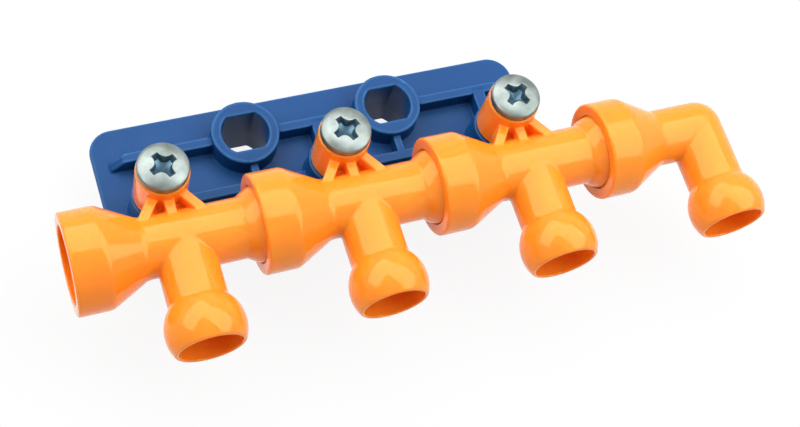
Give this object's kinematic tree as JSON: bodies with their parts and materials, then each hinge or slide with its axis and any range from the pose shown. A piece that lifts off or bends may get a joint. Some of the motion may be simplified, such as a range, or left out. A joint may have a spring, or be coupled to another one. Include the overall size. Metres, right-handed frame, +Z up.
{
  "type": "pipe splitter",
  "caption": "Moulded pipe splitter: a run of ball-and-socket tees ending in an elbow, each with a ball-ended outlet, screwed by ribbed ears to a flat plate with tubular feet.",
  "frame": {"origin": "on the plate's underside, midway between the axes of its two tubes", "axes": "+X along the run of fittings, away from the inlet socket; the outlets point to -Y; +Z up out of the plate, towards the screw heads"},
  "size_m": [0.113, 0.0432, 0.0262],
  "materials": {
    "orange_plastic": "glossy moulded orange acetal, roughness about 0.28",
    "blue_plastic": "semi-gloss moulded blue plastic, roughness about 0.35",
    "zinc_steel": "bright zinc-plated steel, roughness about 0.28"
  },
  "bodies": {
    "manifold": {"mounting_plate": "blue_plastic", "tee_1": "orange_plastic", "tee_2": "orange_plastic", "tee_3": "orange_plastic", "screw_1": "zinc_steel", "screw_2": "zinc_steel", "screw_3": "zinc_steel"},
    "elbow": {"end_elbow": "orange_plastic"}
  },
  "joints": [
    {"name": "elbow_swivel", "type": "hinge", "parent": "manifold", "child": "elbow", "pos_m": [0.04346, -0.0186, 0.0109], "axis": [1, 0, 0], "continuous": true}
  ]
}
